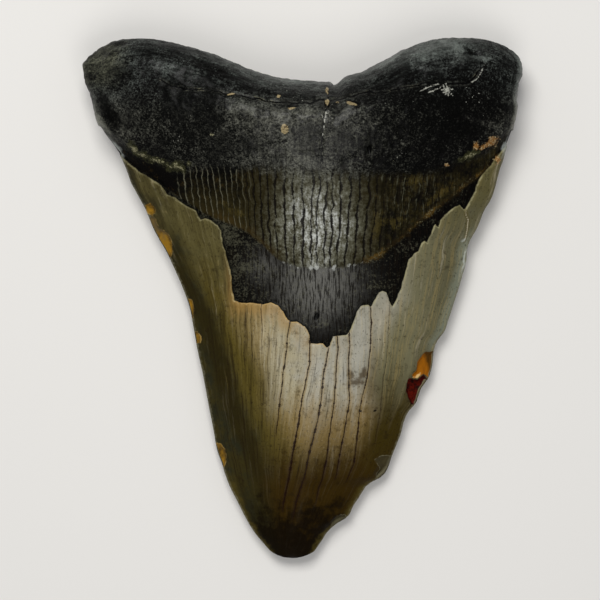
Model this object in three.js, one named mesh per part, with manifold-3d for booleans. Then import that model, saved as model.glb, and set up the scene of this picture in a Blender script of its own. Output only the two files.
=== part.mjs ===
// A fossil megalodon tooth, lying on its flat lip-side face with the arched tongue-side face up.
// Millimetres. +X runs across the tooth, +Y from the tip to the root lobes, +Z up from the table.
// The tooth grew and fossilised as one piece, so it is one solid: a root with two lobes, a bare
// bourlette with upright ribs, and a crown whose enamel ends in a broken, finger-edged ledge.

import * as THREE from "three";
import { mergeVertices } from "three/addons/utils/BufferGeometryUtils.js";
import Module from "manifold-3d";

const wasm = await Module();
wasm.setup();

// Driving dimensions
const cornerY = 61.6; // height of the two root corners, where the side edges meet the root's top edge
const tipY = -63.2; // where the side edges meet the rounded tip
const tipRound = 1.8; // how far the tip's middle stands out past that line
const rimLand = 0.5; // thickness of the blunt cutting edge
const rootLand = 3.0; // height of the upright band round the middle of the root's side
const exposedDepth = 0.9; // how far the bourlette lies under the enamel's surface
const ribbedDepth = 0.35; // how far the ribbed band's floor lies under that surface
const topRounding = 13; // how far down the root's top edge rounds over
const tipRounding = 7; // how far up the tip's end rounds over
const ribPitch = 2.45;
const ribHeight = 0.6;
const ribHalfWidth = 0.5;
const ribInset = 0.8; // how far a rib stops short of the foot of its band
const ribWaver = 0.35;
const crackDepth = 0.5;
const crackHalfWidth = 0.28;
const barStep = 6; // length of one straight piece of a rib or crack
const rooting = 1.1; // how far a rib's base sinks into the tooth, or a crack cutter stands out of it
const columns = 32; // mesh divisions across the tooth
const rows = 38; // mesh divisions along the tooth
const edgeCrowding = 0.62; // how far the divisions crowd towards the side edges, 0 for evenly
const topCrowding = 0.45; // the same towards the root's top edge
const smallestStep = 0.04; // faces flatter than this against their neighbours are merged

// A smooth function through a few (position, value) pairs, held level past both ends.
function curveThrough(pairs) {
  const first = pairs[0][0];
  const last = pairs[pairs.length - 1][0];
  const curve = new THREE.CubicInterpolant(
    pairs.map((pair) => pair[0]),
    pairs.map((pair) => pair[1]),
    1,
    [0],
  );
  return (at) => curve.evaluate(THREE.MathUtils.clamp(at, first, last))[0];
}

// Outline, seen from above: the side edges as x at a height y, the root's top edge as y at an x
const leftEdge = curveThrough([
  [-63.2, -8.4], [-58.2, -12.6], [-50.2, -16.9], [-44.2, -19.6], [-38.2, -21.6],
  [-28.2, -23.5], [-18.2, -25.3], [-10.2, -27.1], [-2.2, -28.6], [3.8, -30.7],
  [11.8, -34.5], [17.8, -37.9], [23.8, -40.7], [29.8, -43.9], [34, -45.6],
  [39.8, -49.6], [44.8, -51.9], [50.2, -53.2], [55.6, -54.8], [58.6, -54.4], [61.6, -51.6],
]);
const rightEdge = curveThrough([
  [-63.2, 2.9], [-60.2, 5.0], [-58.4, 6.2], [-56.4, 8.4], [-54.2, 11.6], [-50.2, 13.9],
  [-46.6, 16.4], [-44.6, 19.9], [-41.8, 21.6], [-36.2, 23.7], [-30.2, 25.6], [-26.2, 28.2],
  [-21.6, 30.2], [-18.2, 32.2], [-12.2, 33.1], [-9.4, 35.2], [-4.2, 36.8], [1.8, 38.9],
  [9.8, 41.1], [13.8, 41.7], [17.8, 43.9], [23.8, 46.8], [29.8, 48.7], [35.8, 50.6],
  [41.8, 52.6], [47.0, 53.7], [51.0, 53.6], [57.0, 54.9], [59.6, 54.3], [61.6, 52.7],
]);
const topEdge = curveThrough([
  [-51.6, 61.8], [-47.1, 64.1], [-39.6, 65.0], [-32.1, 63.8], [-24.6, 61.5], [-17.1, 58.5],
  [-9.6, 56.0], [-2.1, 54.6], [6.2, 54.2], [10.4, 55.0], [15.4, 56.6], [20.4, 59.2],
  [25.4, 62.0], [30.4, 64.0], [37.9, 65.1], [45.4, 64.7], [50.4, 62.9], [52.7, 61.6],
]);

// Profile, seen from the side, as values at a height y
const rimHeight = curveThrough([[-65, 4.2], [-40, 4.6], [0, 5.6], [25, 7.6], [42, 9.4], [65, 9.6]]);
const tongueRise = curveThrough([
  [-65, 1.6], [-60, 4.0], [-50, 6.8], [-30, 9.9], [-10, 12.2], [5, 13.6], [20, 14.6],
  [32, 16.2], [43, 17.2], [55, 16.2],
]);
const lipDrop = curveThrough([
  [-65, 1.2], [-58, 2.9], [-40, 4.7], [0, 5.9], [25, 7.2], [42, 9.6], [65, 9.8],
]);

const { smoothstep, lerp } = THREE.MathUtils;
const bump = (distance, width) => Math.exp(-((distance / width) ** 2));

// Where a place on the blank lands in plan: u and v run from 0 to 1, left to right and tip to root
function planPoint(u, v) {
  const level = lerp(tipY, cornerY, v);
  const x = lerp(leftEdge(level), rightEdge(level), u);
  const s = 2 * u - 1;
  const rootShare = smoothstep(level, -5, cornerY) ** 1.6;
  const tipShare = (1 - smoothstep(level, tipY, tipY + 20)) ** 1.5;
  const y = level + (topEdge(x) - cornerY) * rootShare - tipRound * (1 - s * s) * tipShare;
  return { x, y, s };
}

// How full the section is at a place across the tooth: a thin-bladed lens in the crown,
// a round-sided bar in the root, and rounded over along the root's top edge
function fullness(x, y, s, isTongueSide) {
  const swell = isTongueSide ? 0.42 * bump(s, 0.46) : 0.25;
  const ridge = isTongueSide ? bump(s, 0.46) : 1;
  const blade = (1 - swell) * (1 - Math.abs(s) ** 1.8) + swell * (1 - s ** 4) * ridge;
  const bar = Math.sqrt(1 - Math.abs(s) ** 3.4) * (1 - 0.16 * smoothstep(Math.abs(s), 0.2, 0.9));
  const section = lerp(blade, bar, smoothstep(y, 18, 46));
  const overTop = THREE.MathUtils.clamp(1 - (topEdge(x) - y) / topRounding, 0, 1);
  const overTip = THREE.MathUtils.clamp(1 - (y - tipY + tipRound) / tipRounding, 0, 1);
  return section * Math.sqrt(1 - overTop ** 2.2) * Math.sqrt(1 - overTip ** 2.4);
}

// Height of the arched tongue side
function tongueHeight(x, y, s) {
  const lobeHollow = 2.4 * bump(y - 50, 16) * smoothstep(Math.abs(x), 10, 34);
  const rise = tongueRise(y) - lobeHollow;
  return rimHeight(y) + rise * fullness(x, y, s, true);
}

// Height of the upright land that the edge walls keep between the two faces
function landAt(y) {
  return lerp(rimLand, rootLand, smoothstep(y, 26, 48));
}

// Height of the lip side, which is cut level where the tooth lies on the table
function lipHeight(x, y, s) {
  const archUnderRoot = 2.6 * bump(x, 17) * bump(y - 44, 20);
  const height = rimHeight(y) - lipDrop(y) * fullness(x, y, s, false) + archUnderRoot;
  return Math.max(0, height);
}

// A closed body in the form of the tooth, shaped from a box: its top becomes the tongue side and
// its bottom the lip side, and its side walls become the blunt edge. The sink lowers the tongue
// side, and the inset draws every edge in.
function toothForm(sink, inset) {
  const blank = new THREE.BoxGeometry(1, 1, 1, columns, rows, 1);
  const place = blank.getAttribute("position");
  for (let i = 0; i < place.count; i++) {
    const evenU = place.getX(i) + 0.5;
    const evenV = place.getY(i) + 0.5;
    const u = lerp(evenU, 0.5 - 0.5 * Math.cos(Math.PI * evenU), edgeCrowding);
    const v = lerp(evenV, Math.sin((Math.PI / 2) * evenV), topCrowding);
    const { x, y, s } = planPoint(u, v);
    const halfLand = landAt(y) / 2;
    const z = place.getZ(i) > 0
      ? Math.max(tongueHeight(x, y, s) + halfLand - sink, rimHeight(y) + rimLand / 4)
      : Math.min(Math.max(0, lipHeight(x, y, s) - halfLand) + inset, rimHeight(y));
    place.setXYZ(i, x - inset * s, y - inset * (2 * v - 1), z);
  }
  return blank;
}

// A closed three.js geometry as a solid for cutting and joining
function solidFrom(geometry) {
  geometry.deleteAttribute("normal");
  geometry.deleteAttribute("uv");
  const sameSpot = 1e-4;
  const merged = mergeVertices(geometry, sameSpot);
  return new wasm.Manifold(
    new wasm.Mesh({
      numProp: 3,
      vertProperties: merged.getAttribute("position").array,
      triVerts: new Uint32Array(merged.getIndex().array),
    }),
  );
}

// The tongue side's height over any place in plan
function surfaceAt(x, y) {
  const level = levelAt(x, y);
  const u = (x - leftEdge(level)) / (rightEdge(level) - leftEdge(level));
  return tongueHeight(x, y, 2 * u - 1) + landAt(y) / 2;
}

// The blank's level that lands at a place in plan, found by a few corrections
function levelAt(x, y) {
  let level = y;
  const passes = 6;
  for (let pass = 0; pass < passes; pass++) {
    const v = (level - tipY) / (cornerY - tipY);
    const u = (x - leftEdge(level)) / (rightEdge(level) - leftEdge(level));
    level = THREE.MathUtils.clamp(level + y - planPoint(u, v).y, tipY, cornerY);
  }
  return level;
}

// The bare area between the root and the enamel, from the left corner round by the enamel's
// broken fingers to the right corner, and back along the foot of the root
const enamelBreak = [
  [-42.8, 33.0], [-38.0, 29.8], [-35.7, 28.3], [-34.2, 26.0], [-29.6, 23.1], [-26.9, 21.8],
  [-25.6, 19.5], [-23.1, 19.3], [-21.4, 18.3], [-20.2, 13.8], [-18.5, 7.6], [-17.9, 2.3],
  [-17.4, -0.4], [-14.4, -1.0], [-10.1, -1.5], [-8.1, -0.8], [-6.4, -1.6], [-3.8, -5.2],
  [-1.3, -5.8], [0.3, -6.8], [1.8, -11.0], [4.9, -11.0], [5.9, -12.0], [6.8, -11.6],
  [7.6, -9.4], [11.1, -9.1], [12.3, -6.5], [13.7, -3.0], [14.6, -1.7], [16.9, -2.0],
  [18.9, 1.5], [19.8, 2.0], [20.9, 1.5], [22.3, -2.0], [24.6, 3.0], [26.6, 9.9],
  [29.0, 11.8], [29.6, 13.8], [31.0, 13.8], [33.1, 18.7], [34.0, 17.6], [35.7, 21.0],
  [39.4, 23.3], [40.5, 22.0], [42.8, 26.0], [45.3, 31.3], [47.2, 34.6],
];
const rootFoot = [
  [48.0, 37.2], [42.5, 35.4], [37.0, 33.6], [25.0, 32.4], [12.0, 31.4], [0, 31.0],
  [-12.0, 32.2], [-24.0, 32.8], [-31.0, 33.6], [-36.4, 35.8], [-42.0, 37.8],
];
// The ribbed band hangs from the root's foot down to this line
const ribbedBandFoot = curveThrough([
  [-40, 31.0], [-32, 25.5], [-24, 20.5], [-17.9, 18.3], [-11.9, 14.5], [-6.6, 9.6], [-2, 8.0],
  [4, 7.6], [10.6, 7.8], [16.9, 9.6], [22.4, 13.0], [28.4, 18.0], [34.9, 23.0], [40.6, 27.5],
]);
const rootFootAt = curveThrough([...rootFoot].reverse());

// An upright block with a shape's outline, from a height up through the tooth
function uprightBlock(points, from) {
  const outline = new THREE.Shape(points.map(([x, y]) => new THREE.Vector2(x, y)));
  const tallest = 40;
  return solidFrom(new THREE.ExtrudeGeometry(outline, { depth: tallest, bevelEnabled: false })
    .translate(0, 0, from));
}

// A thin three-sided bar laid along the tongue side, as a rib (pointing up) or a crack cutter
// (pointing down), narrowing and running out at both ends
function ridgeAlong(points, halfWidth, reach, level) {
  const path = new THREE.SplineCurve(points.map(([x, y]) => new THREE.Vector2(x, y)));
  const steps = Math.max(3, Math.round(path.getLength() / barStep));
  const bar = new THREE.CylinderGeometry(1, 1, 1, 3, steps);
  const cornerReach = Math.sin(Math.PI / 3); // half the width of that bar's cross-section
  const endWidth = 0.35; // how wide it still is at its ends, against its middle
  const place = bar.getAttribute("position");
  for (let i = 0; i < place.count; i++) {
    const along = place.getY(i) + 0.5;
    const swell = Math.sin(Math.PI * along) ** 0.4;
    const middle = path.getPointAt(along);
    const across = place.getX(i) * (halfWidth / cornerReach) * lerp(endWidth, 1, swell);
    const crest = reach * lerp(-0.4, 1, swell);
    const up = place.getZ(i) > 0 ? crest : -Math.sign(reach) * rooting;
    place.setXYZ(i, middle.x + across, middle.y, surfaceAt(middle.x, middle.y) + level + up);
  }
  return solidFrom(bar);
}

// Upright ribs over the bare band: each hangs from the root's foot and wavers a little
function ribs() {
  const firstRib = -27;
  const lastRib = 33;
  const made = [];
  for (let x = firstRib; x <= lastRib; x += ribPitch) {
    const top = rootFootAt(x) - 0.6;
    const foot = ribbedBandFoot(x) + ribInset;
    const waver = ribWaver * Math.sin(x * 1.7);
    const points = [0, 0.34, 0.67, 1].map((share, step) => [
      x + waver * (step % 2 ? 1 : -0.4) - 0.02 * x * share,
      lerp(top, foot, share),
    ]);
    made.push(ridgeAlong(points, ribHalfWidth, ribHeight, -ribbedDepth));
  }
  return made;
}

// The longest cracks in the enamel, from the broken edge towards the tip
const enamelCracks = [
  [[-3.6, -7.5], [-5.2, -19.5], [-6.8, -32]],
  [[1.6, -11.5], [1.4, -16], [-0.5, -25], [-2.2, -36.5], [-3.2, -42], [-5.0, -52]],
  [[6.3, -11.5], [5.0, -20.5], [4.1, -28.5], [1.8, -36.5], [0, -44.5], [-2.4, -54]],
  [[8.6, -10.5], [7.8, -25], [6.6, -33.8], [5.8, -40], [3.2, -50.5]],
  [[11.4, -9.5], [11.5, -19.5], [11.6, -25], [10.3, -33], [8.2, -44]],
  [[16.8, -2.6], [16.8, -10.5], [16.1, -19.5], [14.4, -26.8], [13.2, -35.5], [11.0, -45]],
  [[21.6, -1.8], [21.2, -10.5], [20.1, -19.5], [19.3, -27.5], [17.8, -37]],
];

// Scallops knocked out of the edges, and pits in the faces, as ellipsoids to cut away:
// centre x, y, height over the surface, half sizes along the edge, across it and in depth, and
// the edge's lean from upright in degrees
const chips = [
  { x: -37.6, y: 14.2, over: 1.5, along: 5.2, across: 2.2, deep: 2.4, lean: 31 },
  { x: -39.8, y: 22.0, over: 1.0, along: 1.8, across: 1.5, deep: 1.6, lean: 28 },
  { x: -29.4, y: -3.0, over: 0.9, along: 2.8, across: 1.3, deep: 1.5, lean: 14 },
  { x: -27.5, y: -10.4, over: 0.8, along: 1.9, across: 1.6, deep: 1.4, lean: 12 },
  { x: -21.3, y: -40.8, over: 0.9, along: 3.2, across: 1.7, deep: 1.7, lean: 18 },
  { x: 31.9, y: -17.0, over: 1.2, along: 3.6, across: 2.8, deep: 2.0, lean: -14 },
  { x: 30.4, y: -24.2, over: 1.4, along: 4.4, across: 3.4, deep: 2.6, lean: -36 },
  { x: 20.6, y: -45.6, over: 1.2, along: 2.8, across: 2.4, deep: 2.2, lean: -30 },
  { x: 8.8, y: -57.2, over: 1.4, along: 2.6, across: 2.2, deep: 2.4, lean: -48 },
];
const pits = [
  { x: 17.4, y: 36.8, along: 1.4, across: 0.8, deep: 1.6, lean: -10 },
  { x: -1.2, y: 47.6, along: 0.7, across: 1.7, deep: 1.0, lean: 0 },
  { x: 6.5, y: 47.4, along: 1.6, across: 0.7, deep: 1.2, lean: 0 },
  { x: 12.2, y: 47.9, along: 0.8, across: 1.6, deep: 0.9, lean: 20 },
  { x: 3.9, y: -4.9, along: 1.2, across: 0.8, deep: 0.9, lean: 20 },
  { x: 42.0, y: 61.2, along: 1.3, across: 2.6, deep: 1.0, lean: 15 },
];

function ellipsoid({ x, y, along, across, deep, lean }, z) {
  const ball = new THREE.SphereGeometry(1, 9, 6);
  ball.scale(across, along, deep);
  ball.rotateZ(THREE.MathUtils.degToRad(lean));
  return solidFrom(ball.translate(x, y, z));
}

// The whole tooth: the crown and root keep the full form, the bare area keeps the lower one
function toothSolid() {
  const tuckedIn = 0.2; // keeps the lowered forms' edges inside the full one's
  const full = solidFrom(toothForm(0, 0)).simplify(smallestStep);
  const bare = solidFrom(toothForm(exposedDepth, tuckedIn)).simplify(smallestStep);
  const ribbed = solidFrom(toothForm(ribbedDepth, tuckedIn)).simplify(smallestStep);

  const bandFoot = [];
  for (let x = 40; x >= -40; x -= 4) {
    bandFoot.push([x, ribbedBandFoot(x)]);
  }
  const bareArea = uprightBlock([...enamelBreak, ...rootFoot], 8);
  const aroundIt = uprightBlock([[-50, 10], [0, -20], [50, 10], [52, 42], [-52, 42]], 4);
  const ribbedArea = uprightBlock([...bandFoot, [-46, 36], [-46, 60], [50, 60], [50, 36]], 6);

  const parts = [
    full.subtract(bareArea),
    bare.intersect(aroundIt),
    ribbed.intersect(ribbedArea),
    ...ribs(),
  ];
  const cutters = [
    ...enamelCracks.map((crack) => ridgeAlong(crack, crackHalfWidth, -crackDepth, 0.05)),
    ...chips.map((chip) => ellipsoid(chip, rimHeight(chip.y) + chip.over)),
    ...pits.map((pit) => ellipsoid(pit, surfaceAt(pit.x, pit.y) + 0.1)),
  ];
  const joined = parts.reduce((whole, part) => whole.add(part));
  const cut = cutters.reduce((whole, cutter) => whole.subtract(cutter), joined);
  return outermost(cut.simplify(smallestStep));
}

// The body alone, without any sliver of space shut in between the shapes it was made from
function outermost(solid) {
  return solid.decompose().reduce((most, piece) => (piece.volume() > most.volume() ? piece : most));
}

// The cut solid as a geometry for its mesh
function geometryFrom(solid) {
  const { vertProperties, triVerts } = solid.getMesh();
  return new THREE.BufferGeometry()
    .setAttribute("position", new THREE.BufferAttribute(vertProperties, 3))
    .setIndex(new THREE.BufferAttribute(triVerts, 1));
}

// Centred in plan, with its lowest facets on the table
function settle(geometry) {
  geometry.computeBoundingBox();
  const { min, max } = geometry.boundingBox;
  return geometry.translate(-(min.x + max.x) / 2, -(min.y + max.y) / 2, -min.z);
}

const finish = new THREE.MeshStandardMaterial({ color: 0x6e6957, roughness: 0.45, metalness: 0 });
const tooth = new THREE.Mesh(settle(geometryFrom(toothSolid())), finish);
tooth.name = "tooth";

const group = new THREE.Group();
group.add(tooth);

export default group;
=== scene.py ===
import math

import bmesh
import bpy
import numpy as np
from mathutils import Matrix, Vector, noise


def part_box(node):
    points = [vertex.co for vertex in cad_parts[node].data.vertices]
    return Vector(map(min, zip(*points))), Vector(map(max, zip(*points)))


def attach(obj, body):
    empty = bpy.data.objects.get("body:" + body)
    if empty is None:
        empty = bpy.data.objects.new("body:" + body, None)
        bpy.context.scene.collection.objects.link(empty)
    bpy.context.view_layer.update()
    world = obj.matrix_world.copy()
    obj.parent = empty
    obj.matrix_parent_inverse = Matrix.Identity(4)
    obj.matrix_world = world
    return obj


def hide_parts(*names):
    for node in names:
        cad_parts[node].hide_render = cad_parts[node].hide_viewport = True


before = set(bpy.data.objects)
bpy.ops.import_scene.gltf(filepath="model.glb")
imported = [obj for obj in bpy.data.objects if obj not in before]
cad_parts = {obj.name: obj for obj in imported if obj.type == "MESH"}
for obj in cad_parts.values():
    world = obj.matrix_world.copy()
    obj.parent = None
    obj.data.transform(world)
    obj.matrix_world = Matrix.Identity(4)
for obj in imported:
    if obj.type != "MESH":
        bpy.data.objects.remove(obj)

print("frame loaded")
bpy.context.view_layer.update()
millimetre = 0.001


# smooth functions and drawn lines, in millimetres
def through(*pairs):  # a smooth curve through (place, value) pairs, held level past its ends
    place, value = np.array(pairs, float).T
    secant = np.diff(value) / np.diff(place)
    slope = np.concatenate([secant[:1], (secant[1:] + secant[:-1]) / 2, secant[-1:]])

    def curve(at):
        at = np.clip(at, place[0], place[-1])
        i = np.clip(np.searchsorted(place, at, side="right") - 1, 0, len(place) - 2)
        gap = place[i + 1] - place[i]
        p = (at - place[i]) / gap
        start = (1 + 2 * p) * (1 - p) ** 2 * value[i] + p * (1 - p) ** 2 * gap * slope[i]
        return start + p * p * (3 - 2 * p) * value[i + 1] - p * p * (1 - p) * gap * slope[i + 1]

    return curve


def ease(at, low, high):  # smoothstep
    t = np.clip((at - low) / (high - low), 0, 1)
    return t * t * (3 - 2 * t)


def bell(at, width):
    return np.exp(-((at / width) ** 2))


def blend(a, b, share):
    return a + (b - a) * share


def nearness(line, x, y):  # distance from each point to a drawn line
    best = np.full(x.shape, 1e3)
    for (ax, ay), (bx, by) in zip(line[:-1], line[1:]):
        dx, dy = bx - ax, by - ay
        t = np.clip(((x - ax) * dx + (y - ay) * dy) / (dx * dx + dy * dy), 0, 1)
        best = np.minimum(best, np.hypot(x - ax - t * dx, y - ay - t * dy))
    return best


def above(line, x, y):  # signed distance, positive above a line that runs left to right
    return nearness(line, x, y) * np.where(y > np.interp(x, *np.array(line).T), 1, -1)


def rightOf(line, x, y):  # signed distance, positive right of a line that runs from low to high
    turned = [(py, px) for px, py in line]
    return above(turned, y, x)


def within(outline, x, y):  # signed distance, positive inside a closed outline
    closed = outline + outline[:1]
    inside = np.zeros(x.shape, bool)
    for (ax, ay), (bx, by) in zip(closed[:-1], closed[1:]):
        crosses = (ay > y) != (by > y)
        inside ^= crosses & (x < ax + (bx - ax) * (y - ay) / ((by - ay) or 1))
    return nearness(closed, x, y) * np.where(inside, 1, -1)


def rough(x, y, z, size, octaves=3, seed=0.0):  # fractal noise about -1..1 with features of a given size
    scale = 1.0 / size
    return np.array([
        noise.fractal(Vector((a * scale + seed, b * scale - seed, c * scale)), 1.0, 2.0, octaves)
        for a, b, c in zip(x.tolist(), y.tolist(), z.tolist())
    ])


# the tooth's form
form = {
    "cornerY": 61.6,  # height of the root's two corners
    "tipY": -63.2,
    "tipRound": 1.8,
    "rimLand": 0.5,  # thickness of the blunt cutting edge
    "rootLand": 3.0,
    "topRounding": 13.0,  # how far down the root's top edge rounds over
    "ridgeShare": 0.42,  # of the swell down the middle of the tongue side
    "ridgeWidth": 0.46,
    "lipSwell": 0.25,
    "tongueDip": 2.4,  # beside the middle of the root
    "lipArch": 2.6,  # the hollow under the root, between its lobes
    "columns": 140,
    "rows": 130,
}

leftEdge = through(
    (-63.2, -8.4), (-60.6, -10.7), (-58.2, -12.6), (-54.2, -14.9), (-50.2, -16.9), (-47.2, -18.4),
    (-44.2, -19.6), (-41.2, -20.5), (-38.2, -21.6), (-33.2, -22.5), (-28.2, -23.5), (-22.8, -24.5),
    (-18.2, -25.4), (-14.2, -26.3), (-10.2, -27.1), (-6.2, -27.8), (-2.2, -28.6), (3.8, -30.7),
    (8.2, -32.7), (11.8, -34.5), (14.6, -36.2), (17.8, -37.9), (20.8, -39.1), (23.8, -40.7), (27.8, -43.1),
    (30.8, -44.3), (33.4, -45.4), (35.8, -46.9), (39.8, -49.6), (44.8, -51.9), (50.2, -53.2), (55.6, -54.8),
    (58.6, -54.5), (61.6, -51.6))
rightEdge = through(
    (-63.2, 2.9), (-60.2, 5.0), (-58.4, 6.2), (-57.2, 7.5), (-56.4, 8.5), (-55.4, 10.3), (-54.2, 11.6),
    (-52.2, 12.5), (-50.2, 13.8), (-48.2, 15.1), (-46.6, 16.3), (-45.4, 18.4), (-44.6, 19.9), (-43.4, 20.9),
    (-41.8, 21.6), (-40.0, 22.2), (-38.2, 22.9), (-36.2, 23.7), (-34.2, 24.5), (-30.2, 25.6), (-28.2, 26.6),
    (-26.2, 28.4), (-24.2, 29.1), (-22.2, 29.9), (-20.2, 31.4), (-18.2, 32.2), (-16.2, 32.6), (-12.2, 33.1),
    (-10.4, 33.9), (-8.2, 35.6), (-5.2, 36.6), (-2.2, 37.6), (1.8, 38.9), (5.8, 40.1), (9.8, 41.1),
    (11.8, 41.2), (13.8, 41.7), (17.8, 43.9), (21.8, 45.6), (23.8, 46.9), (27.8, 48.4), (31.8, 49.4),
    (33.8, 50.1), (37.8, 51.2), (41.8, 52.6), (45.8, 53.6), (48.0, 53.8), (49.8, 53.5), (51.4, 53.6),
    (53.6, 54.0), (56.2, 54.7), (58.2, 54.8), (60.0, 54.0), (61.6, 52.7))
topEdge = through(
    (-51.6, 61.8), (-47.1, 64.1), (-43.4, 64.8), (-39.6, 65.0), (-35.8, 64.6), (-32.1, 63.8), (-24.6, 61.5),
    (-17.1, 58.5), (-9.6, 56.0), (-2.1, 54.6), (3.2, 54.2), (6.8, 53.9), (8.2, 53.5), (9.2, 54.2),
    (10.4, 55.0), (15.4, 56.6), (20.4, 59.2), (25.4, 62.0), (30.4, 64.0), (34.2, 64.8), (37.9, 65.1),
    (41.6, 65.1), (45.4, 64.7), (50.4, 62.9), (52.7, 61.6))

rimHeight = through((-65, 4.2), (-40, 4.6), (0, 5.6), (25, 7.6), (42, 9.4), (65, 9.6))
tongueRise = through(
    (-65, 1.6), (-60, 4.0), (-50, 6.8), (-30, 9.9), (-10, 12.2), (5, 13.6), (20, 14.6), (32, 16.2),
    (43, 17.2), (55, 16.2))
lipDrop = through((-65, 1.2), (-58, 2.9), (-40, 4.7), (0, 5.9), (25, 7.2), (42, 9.6), (65, 9.8))


def planPoint(u, v):  # where the blank's u and v land: across from the left edge, up from the tip
    level = blend(form["tipY"], form["cornerY"], v)
    x = blend(leftEdge(level), rightEdge(level), u)
    s = 2 * u - 1
    rootShare = ease(level, -5, form["cornerY"]) ** 1.6
    tipShare = (1 - ease(level, form["tipY"], form["tipY"] + 20)) ** 1.5
    y = level + (topEdge(x) - form["cornerY"]) * rootShare - form["tipRound"] * (1 - s * s) * tipShare
    return x, y, s


def fullness(x, y, s, tongueSide):
    ridge = bell(s, form["ridgeWidth"])
    swell = form["ridgeShare"] * ridge if tongueSide else form["lipSwell"]
    blade = (1 - swell) * (1 - np.abs(s) ** 1.8) + swell * (1 - s ** 4) * (ridge if tongueSide else 1)
    bar = np.sqrt(np.maximum(0, 1 - np.abs(s) ** 3.4)) * (1 - 0.16 * ease(np.abs(s), 0.2, 0.9))
    section = blend(blade, bar, ease(y, 18, 46))
    overTop = np.clip(1 - (topEdge(x) - y) / form["topRounding"], 0, 1)
    overTip = np.clip(1 - (y - form["tipY"] + form["tipRound"]) / 7, 0, 1)
    return section * np.sqrt(1 - overTop ** 2.2) * np.sqrt(1 - overTip ** 2.4)


def facePoint(u, v, tongueSide):
    x, y, s = planPoint(u, v)
    halfLand = blend(form["rimLand"], form["rootLand"], ease(y, 26, 48)) / 2
    if tongueSide:
        rise = tongueRise(y) - form["tongueDip"] * bell(y - 50, 16) * ease(np.abs(x), 10, 34)
        z = rimHeight(y) + rise * fullness(x, y, s, True) + halfLand
    else:
        arch = form["lipArch"] * bell(x, 17) * bell(y - 44, 20)
        z = rimHeight(y) - lipDrop(y) * fullness(x, y, s, False) + arch
        z = np.maximum(0, np.maximum(0, z) - halfLand)
    return np.stack([x, y, z], -1)


def oval(x, y, along, across, lean, deep=0.0):  # a mark, by half its length and width, its lean in degrees
    return {"at": (x, y), "along": along, "across": across, "lean": lean, "deep": deep}


# lines drawn on the tongue side
enamelBreak = [  # the enamel's broken upper edge, with its fingers
    (-47.5, 37.0), (-43.8, 33.6), (-43, 32.9), (-41.1, 31.5), (-38, 29.8), (-35.7, 28.3), (-34.2, 26),
    (-31.9, 24.8), (-29.6, 23.1), (-26.9, 21.8), (-25.6, 19.5), (-24.6, 19.9), (-23.1, 19.3), (-21.4, 18.3),
    (-20.6, 16.4), (-20.2, 13.8), (-19.3, 10.8), (-18.5, 7.6), (-18.1, 5.3), (-17.9, 2.3), (-17.4, -0.4),
    (-16.2, -1.1), (-14.4, -1), (-11.6, -1.2), (-10.1, -1.5), (-8.1, -0.8), (-6.4, -1.6), (-5.1, -3.1),
    (-3.8, -5.2), (-3.1, -5.6), (-1.3, -5.8), (0.3, -6.8), (1.4, -8.7), (1.8, -11), (3, -11.1), (4.9, -11),
    (5.9, -12), (6.8, -11.6), (7.6, -9.4), (9.4, -9.1), (11.1, -9.1), (12.3, -6.5), (13.7, -3),
    (14.6, -1.7), (16.3, -1.5), (16.9, -2), (17.8, -0.4), (18.9, 1.5), (19.8, 2), (20.9, 1.5), (21.6, -0.4),
    (22.3, -2), (23.2, -0.4), (24.6, 3), (25.4, 6), (26.1, 8), (26.6, 9.9), (27.7, 11.1), (29, 11.8),
    (29.6, 13.8), (30.4, 14.5), (31, 13.8), (31.7, 15.5), (32.3, 16.8), (33.1, 18.7), (34, 17.6),
    (34.4, 19.5), (35.7, 21), (37.6, 22.4), (39.4, 23.3), (40.5, 22), (41.5, 23.5), (42.8, 26),
    (43.8, 29.4), (45.3, 31.3), (46.8, 32.7), (48.4, 35.2), (49.5, 36.3), (53.5, 41.5)]
rootFootLine = [
    (-50, 43), (-47, 40), (-42.6, 37.5), (-41.4, 36.2), (-39.1, 35.2), (-36.4, 34), (-34.1, 33.5),
    (-32.6, 32.2), (-30.4, 32), (-27, 32.8), (-20, 32.6), (-9, 32.4), (0, 31.4), (10, 31.2), (17, 31),
    (26, 31.1), (31, 31.6), (35.4, 32.6), (39.9, 34.5), (42.6, 35.4), (46, 37.4), (51, 42)]
bandFootLine = [  # where the ribbed band ends below
    (-44, 34), (-32, 25.5), (-24, 20.5), (-17.9, 18.3), (-14.6, 16.8), (-11.9, 14.5), (-10.1, 13),
    (-6.6, 9.6), (-2, 8.0), (4, 7.6), (10.6, 7.8), (14, 8.6), (16.9, 9.6), (20.1, 10.8), (22.4, 13),
    (25.4, 15.3), (28.4, 18), (31.9, 20.8), (34.9, 23), (38.1, 25.3), (40.6, 27.5), (45.4, 31), (49, 35)]
lipEnamelEdge = [
    (-50, 37), (-42, 34.5), (-30, 31), (-15, 31.5), (0, 33.5), (16, 31.8), (30, 31.2), (44, 35), (52, 39)]
creaseLine = [
    (-35.1, 54), (-32.9, 52.2), (-29.4, 51.5), (-22.6, 51.2), (-18.1, 50.2), (-13.9, 49.5), (-9.4, 48.5),
    (-2.6, 47.8), (4.1, 48.8), (9.4, 49), (16.1, 51), (20.1, 50.8), (23.1, 51.5), (26.9, 52.2), (29.9, 53),
    (33.9, 53), (38.1, 52.8), (41.1, 53.2), (42.6, 54.8), (43.9, 56.5)]
splitLine = [
    (4.4, 33.5), (4.6, 38.5), (4.9, 42.2), (5.1, 45.2), (5.9, 47.2), (6.1, 49.8), (6.6, 52.2), (7.9, 54)]

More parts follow.
